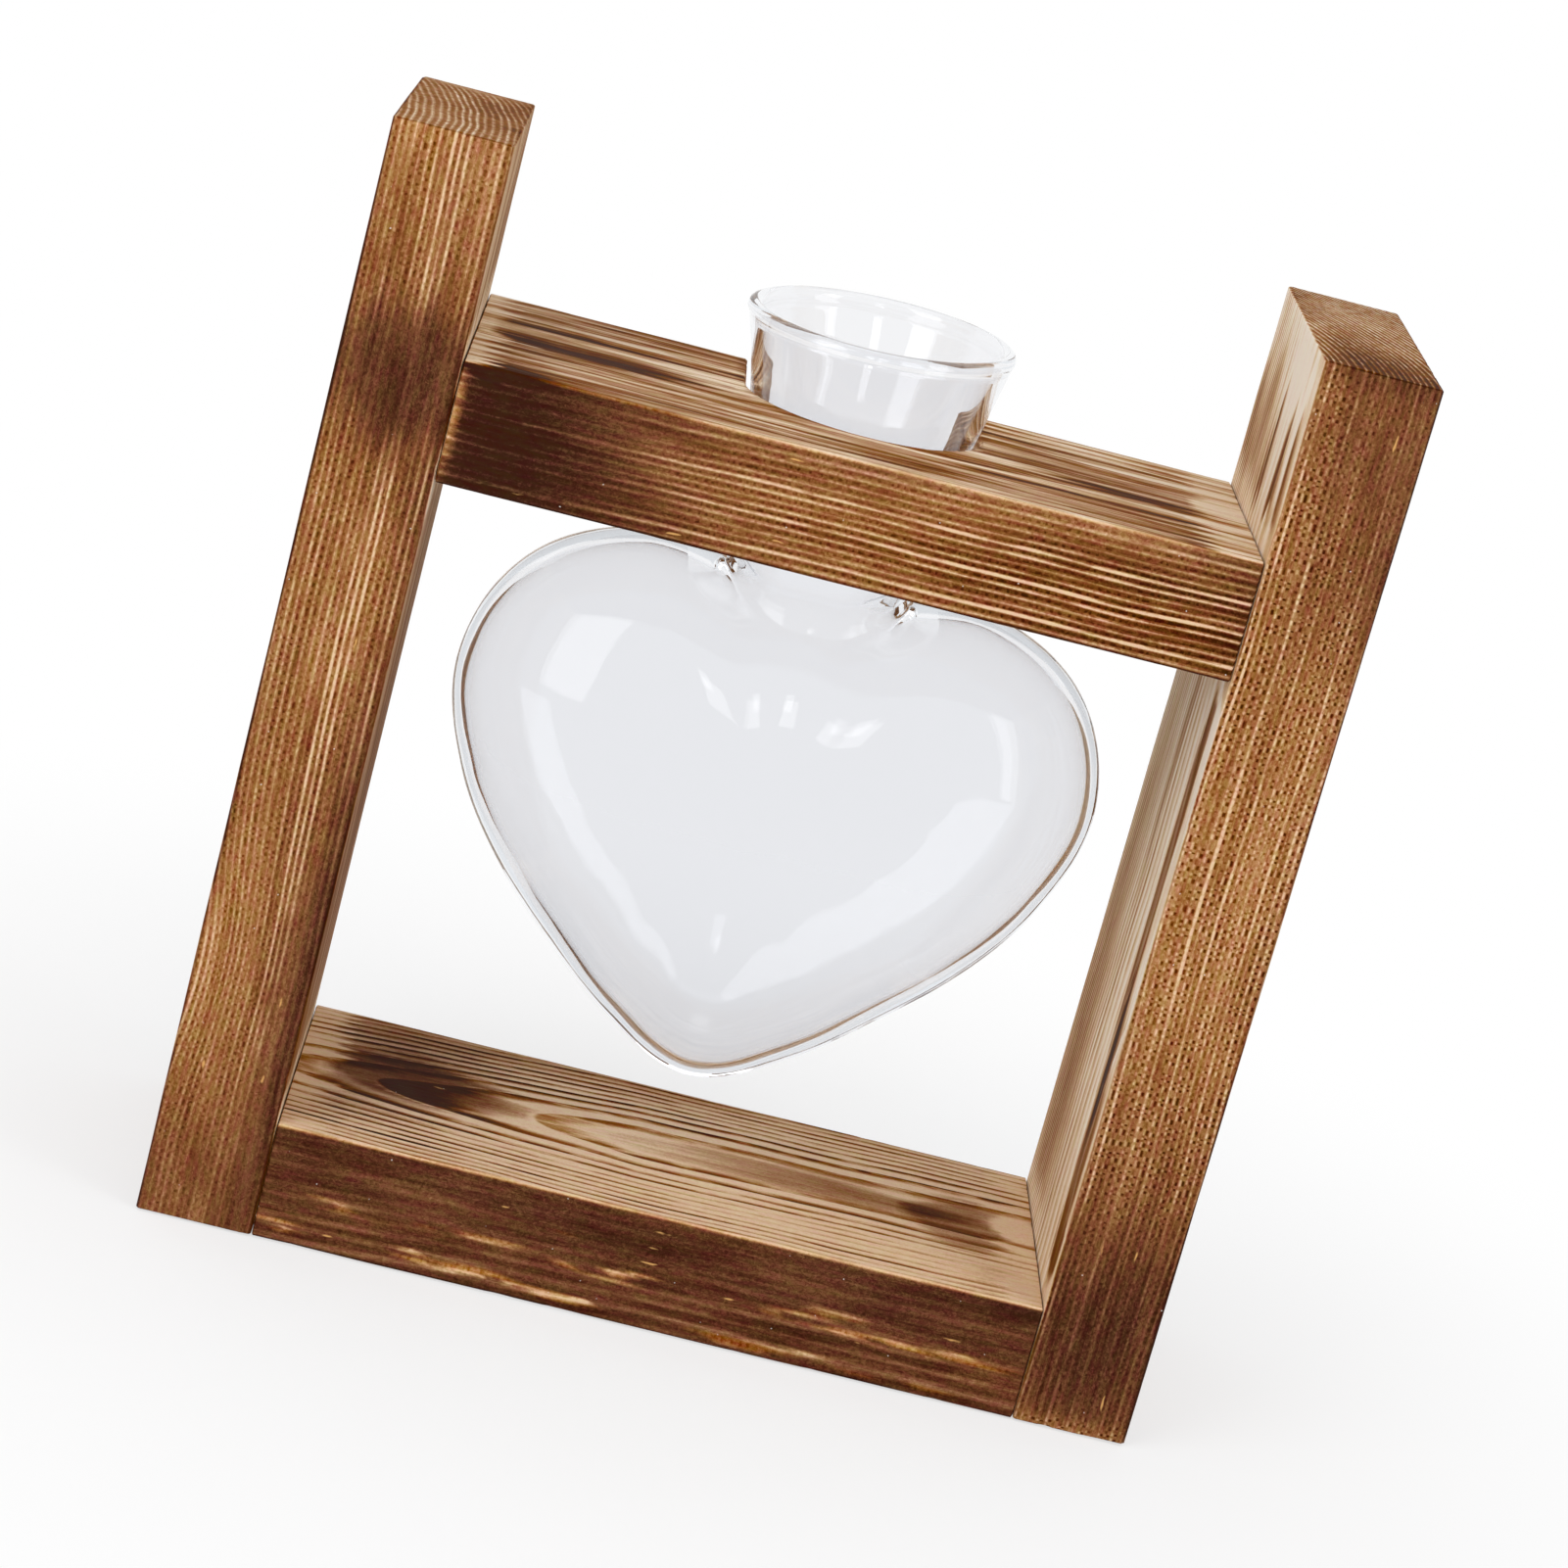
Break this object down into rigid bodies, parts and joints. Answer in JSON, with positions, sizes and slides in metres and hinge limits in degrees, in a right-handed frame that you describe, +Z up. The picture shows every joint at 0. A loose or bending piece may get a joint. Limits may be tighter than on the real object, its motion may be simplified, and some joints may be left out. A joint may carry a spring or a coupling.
{
  "type": "tabletop vase",
  "caption": "Glass heart vase hanging by its flared collar in the open notch of a small four-timber table stand of torched pine.",
  "frame": {"origin": "middle of the stand's footprint, on the table", "axes": "+Z up, the front faces -Y, the notch opens towards +Y, +X to the right seen from the front"},
  "size_m": [0.165, 0.0634, 0.1826],
  "materials": {
    "torched_pine": "flame-browned and brushed, satin",
    "clear_glass": "clear, hand blown, polished",
    "dowel_wood": "raw beech"
  },
  "bodies": {
    "stand": {"left_post": "torched_pine", "right_post": "torched_pine", "upper_rail": "torched_pine", "lower_rail": "torched_pine", "upper_left_dowels": "dowel_wood", "upper_right_dowels": "dowel_wood", "lower_left_dowels": "dowel_wood", "lower_right_dowels": "dowel_wood"},
    "vase": {"glass_vase": "clear_glass"}
  },
  "joints": [
    {"name": "vase_slide_out", "type": "slide", "parent": "stand", "child": "vase", "axis": [0, 1, 0], "range_m": [0, 0.05]}
  ]
}
